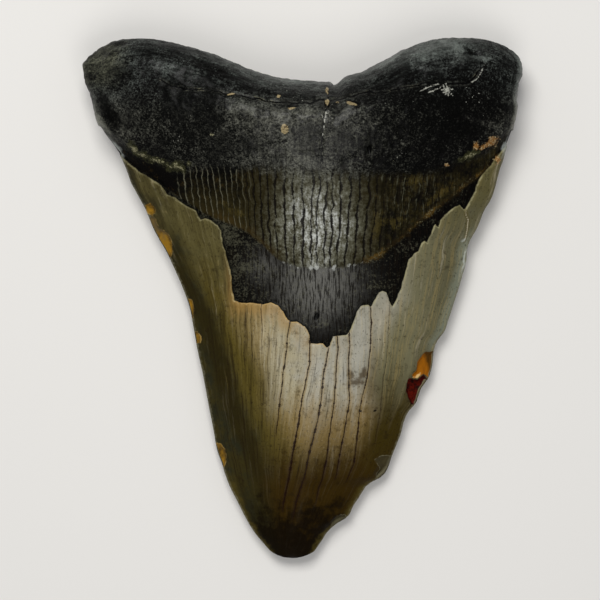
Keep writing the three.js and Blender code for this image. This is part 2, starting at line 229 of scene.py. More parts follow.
# long cracks down the enamel: x at each height, how strong, and between which heights they show
enamelCracks = [
    {"strength": 0.25, "span": (-16, -4),
     "x": [(40, -16), (-6.5, -14.1), (-15.2, -14.1), (-35, -13), (-50, -11), (-64, -7.6)]},
    {"strength": 0.3, "span": (-15, 0),
     "x": [(40, -11.5), (-1.8, -10.4), (-13.2, -10.4), (-35, -9.8), (-50, -8.8), (-64, -6.8)]},
    {"strength": 0.75, "span": (-36, -4),
     "x": [(40, -3), (-6.2, -3.4), (-19.5, -5.1), (-32, -6.6), (-45, -7.2), (-54, -7), (-64, -5.9)]},
    {"strength": 1.0, "span": (-55, -6),
     "x": [(40, 2), (-8, 1.6), (-16, 1.5), (-25, -0.4), (-36.5, -2.1), (-41.8, -3.2), (-48, -4.4),
           (-52.5, -5.1), (-64, -4.8)]},
    {"strength": 0.9, "span": (-57, -9),
     "x": [(40, 7), (-11.5, 6.4), (-20.5, 4.9), (-28.5, 4.1), (-36.5, 1.9), (-44.5, 0.1), (-50.8, -1.6),
           (-55.2, -2.6), (-64, -3.5)]},
    {"strength": 0.8, "span": (-53, -8),
     "x": [(40, 9.6), (-10.5, 8.6), (-25, 7.9), (-33.8, 6.6), (-40, 5.9), (-45.5, 4.6), (-50.8, 3.1),
           (-64, -2.2)]},
    {"strength": 0.8, "span": (-47, -7),
     "x": [(40, 13), (-9.8, 11.4), (-19.5, 11.4), (-25, 11.6), (-33, 10.4), (-40, 9.1), (-44.5, 8.1),
           (-64, -1)]},
    {"strength": 0.6, "span": (-48, 0),
     "x": [(40, 18), (-2.5, 16.9), (-10.5, 16.9), (-19.5, 16.1), (-26.8, 14.4), (-35.5, 13.4), (-41, 12.6),
           (-45.5, 10.9), (-64, 0.3)]},
    {"strength": 0.25, "span": (-40, 0),
     "x": [(40, 25), (-1.8, 21.6), (-10.5, 21.1), (-19.5, 20.1), (-27.5, 19.4), (-37.5, 17.6), (-50, 11.4),
           (-64, 1.5)]},
]
# grooves between the ribs, by their x halfway down the band
ribGrooves = [-32.6, -31.0, -29.4, -27.9, -26.4, -24.9, -23.5, -22.1, -20.7, -19.3, -17.9, -16.6, -15.2,
              -13.7, -12.1, -10.4, -8.6, -6.9, -4.6, -2.4, -0.1, 2.1, 3.6, 5.6, 7.1, 9.1, 11.4, 13.6, 15.9,
              17.9, 19.9, 21.6, 23.4, 25.4, 26.9, 28.9, 30.6, 32.4, 33.9, 35.9, 37.9, 40.2, 42.8, 45.6]

# flakes knocked out of the edge, as outlines
flakes = {
    "amber": [
        [(-39.6, 23.6), (-38.0, 24.0), (-37.0, 22.8), (-37.0, 21.4), (-38.0, 20.8), (-39.4, 21.6)],
        [(-39.0, 20.6), (-37.2, 20.6), (-36.1, 17.8), (-33.9, 16.5), (-32.8, 14.2), (-32.7, 11.8),
         (-33.4, 10.2), (-36.6, 10.6), (-38.6, 17.4)],
        [(-30.0, 0.4), (-28.0, -0.2), (-27.4, -2.6), (-27.7, -4.8), (-29.0, -5.6)],
        [(-28.4, -8.0), (-26.6, -8.2), (-25.6, -9.4), (-25.8, -11.0), (-27.8, -11.4)],
        [(-23.0, -36.0), (-20.6, -36.2), (-19.4, -38.0), (-19.2, -40.4), (-19.9, -42.2), (-21.6, -42.8)],
    ],
    "orange": [
        [(29.9, -13.8), (31.1, -13.1), (34.6, -13.0), (34.8, -19.6), (31.9, -19.8), (30.4, -18.9),
         (27.7, -20.0), (27.1, -18.8), (28.4, -17.8), (28.6, -15.8)],
    ],
    "red": [
        [(26.2, -19.8), (28.4, -20.0), (30.4, -18.9), (31.6, -20.0), (33.4, -21.0), (31.4, -24.8),
         (29.4, -27.2), (27.2, -26.6), (25.8, -23.0)],
    ],
    "glass": [
        [(17.9, -40.0), (20.0, -39.2), (24.0, -39.4), (23.4, -43.6), (19.6, -45.6), (18.6, -44.8),
         (19.6, -42.4)],
        [(8.4, -54.4), (10.6, -54.0), (12.0, -56.6), (8.6, -60.4), (5.4, -62.6), (4.6, -60.8),
         (7.4, -58.2)],
    ],
}
flakeDepth = {"amber": 0.5, "orange": 0.8, "red": 1.3, "glass": 0.5}
breaks = [  # scallops in the outline
    oval(35.2, -10.6, 1.8, 1.6, -24, 0.7),
    oval(20.6, -44.4, 2.6, 3.0, -30, 0.9),
    oval(9.4, -57.0, 2.6, 2.8, -48, 0.9),
]
pits = [
    oval(16.3, 36.4, 1.3, 0.75, -8, 1.3),
    oval(-2.6, 47.2, 0.7, 1.9, 6, 0.9),
    oval(5.9, 47.9, 1.5, 0.8, 4, 1.1),
    oval(12.2, 48.1, 0.9, 2.2, -18, 0.8),
    oval(3.2, -4.4, 1.2, 0.8, -24, 0.7),
    oval(-4.6, 38.4, 0.5, 0.8, 0, 0.4),
    oval(-2.6, 41.0, 1.0, 0.45, 10, 0.3),
    oval(14.2, -27.8, 0.5, 0.4, 0, 0.35),
    oval(18.0, -27.8, 0.4, 0.5, 0, 0.35),
    oval(22.1, 37.6, 0.5, 0.6, 0, 0.35),
    oval(-16.6, 31.9, 0.5, 0.6, 0, 0.35),
]
hollows = [  # shallow dents in the root
    oval(41.2, 60.8, 1.6, 3.4, -14, 0.8),
    oval(36.0, 59.0, 1.4, 3.0, 24, 0.35),
    oval(-47.5, 45.0, 4.2, 2.4, 20, 0.5),
    oval(-22.0, 56.5, 1.8, 6.0, -22, 0.35),
    oval(-45.0, 53.5, 2.4, 3.8, 30, 0.4),
]
shadowLine = [  # painted shade down the left flank, where the middle swell turns away; low end first
    (-4, -58), (-8, -50), (-11.5, -43), (-13.6, -36), (-17.5, -28), (-20, -20), (-22.2, -12), (-24.5, -5),
    (-27.5, 0), (-30.4, 6), (-34, 15), (-38, 22), (-41, 28)]
mineralLines = [  # white mineral in hairline cracks
    [(28.6, 50.9), (31.0, 52.1), (33.6, 52.9)],
    [(30.8, 50.6), (33.4, 51.6), (34.6, 52.4)],
    [(41.4, 53.1), (43.2, 54.2), (44.2, 56.2), (45.0, 57.8)],
    [(6.1, 49.6), (5.6, 46.4), (5.0, 42.2), (4.8, 39.8)],
    [(5.4, 44.4), (6.3, 45.9)],
    [(5.2, 43.6), (4.4, 45.0)],
]
starX, starY = 35.4, 51.2  # a small star of the same mineral
starRays = [(0.2, 1.7), (0.9, 1.1), (1.6, 1.8), (2.3, 1.2), (3.0, 1.9), (3.7, 1.3), (4.3, 1.7), (4.9, 1.4),
            (5.6, 2.0)]  # each needle's direction and length
mineralLines += [[(starX, starY), (starX + reach * math.cos(turn), starY + reach * math.sin(turn))]
                 for turn, reach in starRays]
ridgeHighlightLine = [(27.2, -19.4), (28.3, -19.7), (29.1, -19.1), (29.9, -18.6)]  # painted highlight along the ridge between the orange and red flakes
wingLine = [(40.6, 22.2), (41.3, 19.6), (41.0, 16.6), (40.4, 14.6)]  # crack across the right wing
patches = {  # soft coloured patches, as ovals
    "rust": [
        oval(47.0, 38.9, 1.3, 1.9, 30),
        oval(42.8, 37.7, 1.1, 0.8, -20),
        oval(48.5, 34.5, 1.4, 0.7, -24),
        oval(35.5, 33.1, 0.6, 1.0, 10),
        oval(44.8, 37.9, 0.5, 2.2, 22),
    ],
    "blotch": [
        oval(18.4, 17.4, 4.0, 1.5, -8),
        oval(23.4, 18.8, 1.5, 2.8, 32),
        oval(33.6, 25.2, 1.0, 3.2, 36),
        oval(27.5, 29.4, 1.8, 3.0, 0),
        oval(-17.0, 21.6, 1.2, 3.0, -28),
    ],
    "smudge": [
        oval(11.9, -18.9, 1.7, 0.9, 24),
        oval(14.6, -18.6, 1.8, 0.9, -34),
        oval(13.2, -20.8, 0.8, 2.4, 0),
        oval(-3.5, -41.8, 1.2, 0.8, 0),
    ],
    # painted highlights on the root's ledge, and pale specks and a flake of its own
    "ledge": [
        oval(-41.8, 37.2, 0.8, 1.2, -62),
        oval(-31.4, 32.8, 0.9, 1.4, -12),
        oval(-28.2, 33.4, 0.5, 0.4, 0),
        oval(41.2, 35.5, 0.7, 2.3, 30),
        oval(-22.8, 40.2, 0.5, 0.5, 0),
        oval(22.0, 34.2, 0.6, 0.5, 0),
    ],
    # painted highlights: glints on the root's edges and on the right wing
    "glintHighlight": [
        oval(-47.2, 37.2, 1.2, 3.8, -54),
        oval(51.0, 38.2, 4.0, 0.8, -22),
        oval(40.2, 14.8, 0.5, 1.0, 40),
        oval(40.6, 9.6, 4.6, 0.5, -8),
    ],
}
# the ledge's painted highlight runs along this line
ledgeLine = [
    (-42.8, 38.0), (-41.6, 36.4), (-39.6, 35.5), (-37.4, 34.2), (-35.0, 34.1), (-33.4, 32.7), (-30.2, 32.2)]
grains = [  # specks of pale matrix left in the pits and on the root
    oval(-4.5, 41.4, 1.4, 1.0, 14, -0.35),
    oval(11.9, 47.8, 0.7, 1.6, -22, -0.5),
    oval(-2.8, 46.5, 0.5, 1.2, 12, -0.5),
    oval(5.9, 51.4, 1.0, 0.5, 0, -0.25),
    oval(5.9, 48.7, 0.7, 0.55, 0, -0.4),
    oval(-6.0, 49.3, 0.35, 0.6, 0, -0.15),
    oval(-17.8, 50.2, 0.25, 1.4, 5, -0.1),
    oval(8.4, 48.0, 0.35, 0.7, 0, -0.15),
]


def ovalDistance(mark, x, y):  # 0 at a mark's middle, 1 on its outline
    lean = math.radians(mark["lean"])
    dx, dy = x - mark["at"][0], y - mark["at"][1]
    across = dx * math.cos(lean) + dy * math.sin(lean)
    along = dy * math.cos(lean) - dx * math.sin(lean)
    return np.hypot(across / mark["across"], along / mark["along"])


def dent(mark, x, y):
    inside = np.clip(1 - ovalDistance(mark, x, y) ** 2, 0, 1)
    return mark["deep"] * inside ** 0.75


def closest(marks, x, y):  # largest of 1 - distance over some marks: positive inside any of them
    return np.max([1 - ovalDistance(mark, x, y) for mark in marks], axis=0)


# the blank, shaped point by point
def toothBlank():
    blank = bmesh.new()
    bmesh.ops.create_grid(blank, x_segments=form["columns"], y_segments=form["rows"], size=0.5)
    lifted = bmesh.ops.extrude_face_region(blank, geom=blank.faces[:])
    top = [part for part in lifted["geom"] if isinstance(part, bmesh.types.BMVert)]
    bmesh.ops.translate(blank, verts=top, vec=(0, 0, 1))
    upper = [edge for edge in blank.edges if min(vert.co.z for vert in edge.verts) > 0.5]
    bmesh.ops.subdivide_edges(blank, edges=upper, cuts=1, use_grid_fill=True)
    bmesh.ops.recalc_face_normals(blank, faces=blank.faces[:])
    mesh = bpy.data.meshes.new("toothSurface")
    blank.to_mesh(mesh)
    blank.free()
    return mesh


toothMesh = toothBlank()
count = len(toothMesh.vertices)
flat = np.empty(count * 3, np.float32)
toothMesh.vertices.foreach_get("co", flat)
unit = flat.reshape(-1, 3).astype(float)
tongue = unit[:, 2] > 0.5
evenU, evenV = unit[:, 0] + 0.5, unit[:, 1] + 0.5
u = np.clip(blend(evenU, 0.5 - 0.5 * np.cos(math.pi * evenU), 0.35), 0, 1)
v = np.clip(blend(evenV, np.sin(math.pi / 2 * evenV), 0.35), 0, 1)
print("blank:", count, "points")


def shapePoint(u, v):
    return np.where(tongue[:, None], facePoint(u, v, True), facePoint(u, v, False))


base = shapePoint(u, v)
tiny = 0.002
overU = shapePoint(np.clip(u + tiny, 0, 1), v) - shapePoint(np.clip(u - tiny, 0, 1), v)
overV = shapePoint(u, np.clip(v + tiny, 0, 1)) - shapePoint(u, np.clip(v - tiny, 0, 1))
outward = np.cross(overU, overV)
outward /= np.maximum(1e-9, np.linalg.norm(outward, axis=1))[:, None]
outward[~tongue] *= -1
x, y, z = base.T
s = 2 * u - 1
level = blend(form["tipY"], form["cornerY"], v)
width = rightEdge(level) - leftEdge(level)
rim = np.minimum(np.minimum(u, 1 - u) * width, np.maximum(0, topEdge(x) - y))

# fields that both the relief and the surface finish read
wander = rough(x, y, z, 1.6, 3, 3.1) * 0.22
wanderUp = rough(x, y, z, 1.6, 3, 17.7) * 0.22
bare = np.where(tongue, above(enamelBreak, x + wander, y + wanderUp),
                above(lipEnamelEdge, x + wander, y + 2 * wanderUp))
rootward = above(rootFootLine, x + wander, y + 2 * wanderUp)
bandward = above(bandFootLine, x + wander, y + wanderUp)
crease = above(creaseLine, x, y + 1.6 * wanderUp)
creaseShare = ease(x, -37, -31) * (1 - ease(x, 43, 45.5)) * tongue
split = rightOf(splitLine, x + 1.2 * wander, y)
splitShare = ease(y, 32, 37) * tongue

heights = [[point[0] for point in crack["x"]][::-1] for crack in enamelCracks]
places = [[point[1] for point in crack["x"]][::-1] for crack in enamelCracks]
lines = np.array([leftEdge(y)] + [np.interp(y, h, p) for h, p in zip(heights, places)] + [rightEdge(y)])
sway = x + rough(x, y, z, 5.0, 2, 8.0) * 0.25 + rough(x, y, z, 1.2, 2, 5.0) * 0.08
step = np.clip((sway > lines).sum(0) - 1, 0, len(lines) - 2)
column = np.arange(count)
lowLine, highLine = lines[step, column], lines[step + 1, column]
gap = np.maximum(0.4, highLine - lowLine)
crackLine = step + np.clip((sway - lowLine) / gap, 0, 1)
nearLine = np.clip(np.round(crackLine).astype(int), 0, len(lines) - 1)
# the first and last lines are the tooth's own edges, where no crack shows
shownFrom = np.array([-99] + [crack["span"][0] for crack in enamelCracks] + [-99])
shownTo = np.array([-98] + [crack["span"][1] for crack in enamelCracks] + [-98])
strength = np.array([0] + [crack["strength"] for crack in enamelCracks] + [0])
crackShare = strength[nearLine] * ease(y, shownFrom[nearLine], shownFrom[nearLine] + 6) \
    * (1 - ease(y, shownTo[nearLine] - 1, shownTo[nearLine])) * (bare < 0) * tongue
flowAt = np.array([-26, -14.1, -10.4, -4.4, 1.5, 5.8, 8.5, 11.4, 16.5, 20.6, 32.6])
flow = np.interp(crackLine, np.arange(len(flowAt)), flowAt)

lean = 1 + 0.0045 * (y - 21)
ribX = x / lean + rough(x, y, z, 7.0, 2, 21.0) * 0.5 + rough(x * 0.5, y, z, 2.6, 3, 31.0) * 0.42
ribLine = np.interp(ribX, ribGrooves, np.arange(len(ribGrooves)))
ribShare = ease(bandward, -0.3, 1.2) * (1 - ease(rootward, -1.6, 0.4)) * ease(bare, 0.2, 1.2) \
    * ease(x, -32, -28) * (1 - ease(x, 36, 42)) * tongue
ribMiddle = ease(x, -13, -6) * (1 - ease(x, 15, 22))  # broad ribs in the middle, thin ones at both sides
apart = np.abs(ribLine - np.round(ribLine)) * 2  # 0 in a groove, 1 on a crest
ribRise = blend(apart ** 3, 1 - (1 - apart) ** 4, ribMiddle)

# relief, in millimetres along the surface's own direction
reliefDepth = {
    "enamelLedge": 0.75,  # the enamel's broken ledge
    "bandStep": 0.3,
    "lipMargin": 0.35,
    "ribs": 0.32,
    "rootLedge": 0.45,
    "enamelCrack": 0.12,
    "strips": 0.05,  # the enamel cups a little between its cracks
    "crease": 0.32,
    "creaseValley": 0.25,
    "split": 0.26,
    "enamelSwell": 0.10,
    "rootSwell": 0.42,
    "rootLumps": 0.20,
    "rootGrain": 0.12,
    "rootFibres": 0.16,
    "bareGrain": 0.10,
    "nodules": 0.35,
    "edgeNicks": 0.10,
    "ledgePatches": 0.22,
}
enamelShare = 1 - ease(bare, -0.3, 0.3)
rootShare = ease(rootward, -1, 3)
topGap = topEdge(x) - y  # how far below the root's top edge
crackAway = np.abs(crackLine - np.round(crackLine)) * gap
rootLedge = np.maximum(bell(x + 37, 7), bell(x - 41, 6))
rootLedge *= ease(rootward, -0.5, 0.3) * (1 - ease(rootward, 1, 6))
underEnamel = ease(bare, -0.3, 0.35) * (1 - ease(rootward, -1.5, 1.0))
onBand = ease(bandward, -0.5, 0.6) * ease(bare, 0, 1) * (1 - ease(rootward, -1.0, 1.0))
nodules = bell(bandward, 0.7) * bell(x - 5, 11) * np.clip(rough(x, y, z, 1.4, 2, 80.0) * 2.5, 0, 1) * tongue

relief = reliefDepth["bandStep"] * onBand * tongue - reliefDepth["enamelLedge"] * underEnamel * tongue
relief -= reliefDepth["lipMargin"] * ease(bare, -0.3, 0.4) * ~tongue
relief += reliefDepth["ribs"] * (ribRise - 0.4) * ribShare
relief += reliefDepth["rootLedge"] * rootLedge * tongue
relief -= reliefDepth["enamelCrack"] * bell(crackAway, 0.30) * crackShare
relief += reliefDepth["strips"] * (1 - (1 - np.clip(crackAway / 2.2, 0, 1)) ** 2) * (bare < 0) * tongue
valley = reliefDepth["crease"] * bell(crease, 0.42) + reliefDepth["creaseValley"] * bell(crease, 1.8)
relief -= valley * creaseShare
relief -= reliefDepth["split"] * bell(split, 0.34) * splitShare
relief += reliefDepth["enamelSwell"] * rough(x, y, z, 11, 3, 40.0) * enamelShare
relief += reliefDepth["rootSwell"] * rough(x, y, z, 13, 3, 50.0) * rootShare
relief += reliefDepth["rootLumps"] * rough(x, y, z, 2.6, 3, 60.0) * rootShare
relief += reliefDepth["rootGrain"] * rough(x, y, z, 1.2, 2, 63.0) * rootShare
fibres = rough(topGap * 1.2, x * 0.12, z, 1.3, 2, 66.0) * (1 - ease(topGap, 8, 13))
relief += reliefDepth["rootFibres"] * fibres * rootShare
bareShare = (1 - enamelShare) * (1 - rootShare) * (1 - ribShare)
relief += reliefDepth["bareGrain"] * rough(x, y, z, 1.8, 3, 70.0) * bareShare
relief += reliefDepth["nodules"] * nodules
nicks = np.clip(rough(x, y, z, 2.4, 3, 90.0), 0, 1) * (1 - ease(rim, 0.3, 1.4))
relief -= reliefDepth["edgeNicks"] * nicks * enamelShare
for mark in pits + grains:
    relief -= dent(mark, x, y) * tongue
breakRoughness = rough(x, y, z, 1.5, 2, 95.0)
for mark in breaks + hollows:
    relief -= dent(mark, x, y) * (1 + 0.25 * breakRoughness) * tongue
flakeRoughness = rough(x, y, z, 2.0, 2, 95.0)
flakeFields = {}
for name, outlines in flakes.items():
    flakeFields[name] = np.max([within(outline, x + wander, y + wanderUp) for outline in outlines], axis=0)
    relief -= flakeDepth[name] * ease(flakeFields[name], -0.1, 0.9) * (1 + 0.4 * flakeRoughness) * tongue
for mark in patches["ledge"]:
    relief += reliefDepth["ledgePatches"] * np.clip(1 - ovalDistance(mark, x, y) ** 2, 0, 1) * tongue
relief *= np.where(tongue, 1, ease(z, 0.05, 1.2))  # what it rests on stays level
print("relief worked out")

# how pale, golden or dark each place is, 0 to 1; partly painted highlight and shade
paleLeft = through(
    (-60, -2), (-45, -4), (-35, -4.5), (-28, -7.6), (-20, -8.4), (-12, -12.4), (-5, -15.5), (0, -17))
paleRight = through((-60, 6), (-45, 12), (-35, 14), (-28, 16), (-20, 15), (-10, 18), (0, 24))
paleFade = through(
    (-60, 0), (-48, 0), (-42, 0.12), (-35, 0.5), (-28, 0.78), (-20, 1), (-12, 0.94), (-4, 0.8), (4, 0.6))
goldFade = through((-58, 0.05), (-50, 0.3), (-42, 0.55), (-34, 0.85), (-20, 1), (20, 1), (30, 0.8))
shadowFade = through((-60, 1), (0, 1), (10, 0.6), (18, 0.4), (26, 0.15), (34, 0.1))
rootGlows = [  # pale places on the root, partly painted highlight on the lobes: x, y, reach across, reach up and how pale
    (-49.5, 58.6, 5, 4.4, 0.27), (-44, 53.6, 3.4, 3, 0.18), (33, 61.2, 13, 4.0, 0.46), (38, 46, 9, 7, -0.06),
    (-46, 42, 4, 6, 0.12), (12, 42, 5, 6, 0.08), (49, 40, 4, 5, 0.12)]
speckGlows = [
    (-31, 40, 3.6, 3.4, 1), (23, 35, 2.6, 2.4, 1), (-1, 50, 3, 2, 1), (43, 50, 4, 5, 0.8), (6, 46, 3, 5, 0.7),
]
paleSquare = [(-19.2, 49.6), (-11.2, 48.4), (-11.6, 44.6), (-18.4, 45.0)]
wrinkleLine = [(34.5, 63.4), (37.4, 62.4), (40.4, 60.4), (45.4, 59.0)]
lightStreaks = [[(28.6, 57.2), (35.2, 55.4)], [(22.0, 57.4), (31.0, 59.4)], [(40.0, 45.0), (49.0, 42.2)]]


def glow(spots):
    return sum(light * bell(x - atX, acrossReach) * bell(y - atY, upReach)
               for atX, atY, acrossReach, upReach, light in spots)


# the crown's pale middle: partly its own pale colour, partly painted highlight
paleAndHighlight = ease(x - paleLeft(y), -5, 6) * (1 - ease(x - paleRight(y), -3, 5)) * paleFade(y)
shadowAt = rightOf(shadowLine, x + 2 * wander, y)  # positive right of the stain's middle
gold = np.maximum(ease(shadowAt, 0.5, 6.5) * goldFade(y), 0.75 * ease(y, 10, 22) * ease(rim, 0.4, 2.4))
shadow = bell(shadowAt, 2.4) * shadowFade(y)
# painted sheen over the ribs, brightest in the middle
silverSheen = bell(x - 3.2, 10.4) * blend(0.35, 0.85, bell(y - 18, 8))
# painted sheen over the grey striae below the ribs, brightest in the middle
sheen = np.maximum(bell(x - 3.5, 11) * bell(y - 4, 10), 0.5 * bell(x + 9, 6) * bell(y - 8, 6))
# the root's middle is paler, partly painted highlight
rootPaleAndPaintedLight = 0.03 + 0.05 * ease(x, 10, -20) + 0.25 * bell(x + 1, 15) * (1 - ease(y, 46, 51))
rootPaleAndPaintedLight += glow(rootGlows) - 0.03 * ease(x, 16, 26) * (1 - ease(y, 47, 54))
rootPaleAndPaintedLight += 0.26 * bell(x + 33, 7) * bell(y - 56.8 + 0.28 * (x + 33), 2.0)  # slanting, on the left lobe: partly painted sheen
rootPaleAndPaintedLight += 0.14 * bell(x + 47 + (y - 50) * 0.7, 3) * bell(y - 49, 5)
rootPaleAndPaintedLight += 0.15 * ease(within(paleSquare, x + 2 * wander, y + 2 * wanderUp), -0.6, 0.8)
# painted highlight on the fold below the right lobe's hollow
rootPaleAndPaintedLight += 0.34 * bell(nearness(wrinkleLine, x + wander, y + wanderUp), 0.7)
for streak in lightStreaks:
    rootPaleAndPaintedLight += 0.14 * bell(nearness(streak, x + 2 * wander, y + 2 * wanderUp), 0.7)
rootPaleAndPaintedLight += 0.08 * bell(x - 52, 2) + 0.23 * bell(x, 46) * bell(topGap - 1.2, 2.4)  # painted highlight along the right edge and the top edge
# painted highlight along the outline, strongest at the right edge
rootPaleAndPaintedLight += (0.16 + 0.5 * ease(x, 40, 50)) * (1 - ease(rim, 0.3, 1.6)) * (1 - ease(y, 58, 63)) * tongue
# painted highlight along the left edge
rootPaleAndPaintedLight += 0.45 * (1 - ease(rim, 0.5, 2.4)) * bell(x + 49, 5) * bell(y - 42, 8)
hollowShade = [np.clip(1 - ovalDistance(mark, x, y) ** 2, 0, 1) * mark["deep"] for mark in hollows]
rootPaleAndPaintedLight -= 0.5 * np.max(hollowShade, axis=0)

point = base + outward * relief[:, None]
point[tongue, 2] = np.maximum(point[tongue, 2], facePoint(u, v, False)[tongue, 2] + 0.12)

# the visual tooth fills the solid's box, no more
toothLow, toothHigh = [np.array(corner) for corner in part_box("tooth")]
low, high = point.min(0) * millimetre, point.max(0) * millimetre
inset = 0.00002  # metres
scale = (toothHigh - toothLow - 2 * inset) / (high - low)
scale[2] = (toothHigh[2] - toothLow[2] - inset) / (high[2] - low[2])
placed = (point * millimetre - low) * scale + toothLow + inset
placed[:, 2] -= inset
toothMesh.vertices.foreach_set("co", placed.astype(np.float32).ravel())
toothMesh.shade_smooth()
toothMesh.update()


def drawn(line, spread=1.0):  # distance to a line on the tongue side, its edge wandering
    return np.where(tongue, nearness(line, x + spread * wander, y + spread * wanderUp), 9)


fields = {
    "bare": bare,
    "rootward": rootward,
    "bandward": bandward,
    "crease": np.where(creaseShare > 0.01, crease, 9),
    "split": np.where(splitShare > 0.01, split, 9),
    "crackLine": crackLine,
    "crackShare": crackShare,
    "crackGap": gap,
    "flow": flow,
    "ribLine": ribLine,
    "ribShare": ribShare,
    "rim": rim,
    "across": s,
    "topGap": topGap,
    "nodule": nodules,
    "mineral": 1 - np.min([drawn(line) for line in mineralLines], axis=0) / 0.26,
    "wingCrack": drawn(wingLine),
    "ridge": drawn(ridgeHighlightLine),
    "paleAndHighlight": paleAndHighlight * tongue,
    "gold": gold,
    "shadow": shadow,
    "speckle": glow(speckGlows) * tongue,
    "silverSheen": silverSheen,
    "sheen": sheen,
    "rootPaleAndPaintedLight": rootPaleAndPaintedLight,
}
marks = dict(flakeFields)
marks["grain"] = closest(grains, x + wander, y + wanderUp)
marks["pit"] = closest(pits, x + wander, y + wanderUp)
for name, ovals in patches.items():
    marks[name] = closest(ovals, x + 2 * wander, y + 2 * wanderUp)
marks["ledge"] = np.maximum(marks["ledge"], 0.8 - drawn(ledgeLine, 3) / 0.9)
for name, field in marks.items():
    fields[name] = np.where(tongue, field, -5)
for name, values in fields.items():
    attribute = toothMesh.attributes.new(name, "FLOAT", "POINT")
    attribute.data.foreach_set("value", np.asarray(values, np.float32))
print("tooth shaped:", len(toothMesh.polygons), "faces")


# shader expressions
class Wire:  # one output socket, which Python's operators turn into Math nodes
    def __init__(self, finish, socket):
        self.finish, self.socket = finish, socket

    def maths(self, operation, a, b=0.0):
        return self.finish.node("ShaderNodeMath", {"operation": operation}, {0: a, 1: b})

    def __add__(self, other):
        return self.maths("ADD", self, other)

    def __radd__(self, other):
        return self.maths("ADD", other, self)

    def __sub__(self, other):
        return self.maths("SUBTRACT", self, other)

    def __rsub__(self, other):
        return self.maths("SUBTRACT", other, self)

    def __mul__(self, other):
        return self.maths("MULTIPLY", self, other)

    def __rmul__(self, other):
        return self.maths("MULTIPLY", other, self)

    def __abs__(self):
        return self.maths("ABSOLUTE", self)

    def top(self, other):
        return self.maths("MAXIMUM", self, other)

    def rounded(self):
        return self.maths("ROUND", self)


class Finish:  # one material, built node by node
    def __init__(self, name):
        self.material = bpy.data.materials.new(name)
        self.material.use_nodes = True
        self.tree = self.material.node_tree
        self.tree.nodes.clear()

    def node(self, kind, settings=None, sockets=None, output=0):
        made = self.tree.nodes.new(kind)
        for key, value in (settings or {}).items():
            setattr(made, key, value)
        for key, value in (sockets or {}).items():
            if isinstance(value, Wire):
                self.tree.links.new(value.socket, made.inputs[key])
            else:
                made.inputs[key].default_value = value
        return Wire(self, made.outputs[output]) if made.outputs else None

    def field(self, name):
        return self.node("ShaderNodeAttribute", {"attribute_name": name}, output="Fac")

    def mix(self, share, a, b):
        return self.node("ShaderNodeMix", {"data_type": "RGBA"}, {0: share, 6: a, 7: b}, 2)

    def layers(self, tones, colour, *coats):  # coats are (share, colour); a name is one of the tones
        def found(tone):
            return tones[tone] if isinstance(tone, str) else tone

        colour = found(colour)
        for share, over in coats:
            colour = self.mix(share, colour, found(over))
        return colour

    def ramp(self, value, low, high, start=0.0, end=1.0):
        return self.node("ShaderNodeMapRange", {"interpolation_type": "SMOOTHSTEP"},
                         {"Value": value, "From Min": low, "From Max": high, "To Min": start, "To Max": end})

    def noise(self, vector, size, detail=3.0, roughness=0.5):  # about -1 to 1
        raw = self.node("ShaderNodeTexNoise", None, {
            "Vector": vector, "Scale": 1.0 / size, "Detail": detail, "Roughness": roughness})
        return (raw - 0.5) * 5.0

    def joined(self, a, b, c):
        return self.node("ShaderNodeCombineXYZ", None, {0: a, 1: b, 2: c})

    def surface(self, sockets):
        shell = self.node("ShaderNodeBsdfPrincipled", None, sockets)
        self.node("ShaderNodeOutputMaterial", None, {"Surface": shell})


def tone(*screen):  # a screen colour, 0 to 255, as the shader's linear colour
    linear = [c / 255 / 12.92 if c <= 10 else ((c / 255 + 0.055) / 1.055) ** 2.4 for c in screen]
    return (*linear, 1.0)


enamelTones = {
    "middle": tone(162, 153, 125),
    "grey": tone(159, 156, 143),
    "gold": tone(142, 116, 62),
    "goldBrown": tone(82, 71, 28),
    "brown": tone(48, 34, 4),
    "tip": tone(9, 4, 0),
    "leftFlank": tone(53, 47, 20),
    "leftTeal": tone(38, 38, 24),
    "wing": tone(86, 79, 46),
    "leftBand": tone(38, 32, 9),
    "rightFlank": tone(110, 106, 80),
    "rightSide": tone(78, 75, 54),
    "rightLow": tone(54, 44, 9),
    "rightTop": tone(90, 84, 50),
    "rightEdge": tone(126, 132, 116),
    "streak": tone(30, 21, 8),
    "light": tone(196, 186, 160),
    "goldLine": tone(160, 140, 88),
    "rimLine": tone(120, 116, 94),
    "rustEdge": tone(150, 116, 60),
    "smudge": tone(64, 50, 26),
    "crack": tone(26, 11, 5),
    "edge": tone(188, 158, 100),
    "edgePale": tone(154, 148, 112),
}
bareTones = {
    "silverSheen": tone(184, 186, 180),
    "rib": tone(85, 84, 68),
    "thinRib": tone(104, 102, 84),
    "groove": tone(16, 12, 7),
    "olive": tone(36, 31, 13),
    "velvet": tone(6, 5, 4),
    "striae": tone(96, 95, 90),
    "stain": tone(84, 64, 26),
    "blotch": tone(76, 66, 30),
    "underLedgeShade": tone(3, 3, 2),
}
rootTones = {
    "light": tone(122, 122, 110),
    "topLight": tone(112, 118, 112),
    "beige": tone(118, 119, 100),
    "dark": tone(4, 4, 3),
    "grain": tone(156, 140, 104),
    "grainDark": tone(60, 44, 22),
    "holeShade": tone(2, 2, 2),
    "speck": tone(176, 176, 164),
    "rust": tone(140, 98, 48),
    "rustPale": tone(176, 156, 118),
    "glintHighlight": tone(186, 192, 186),
    "ledge": tone(138, 134, 104),
    "ledgeDark": tone(62, 62, 36),
}
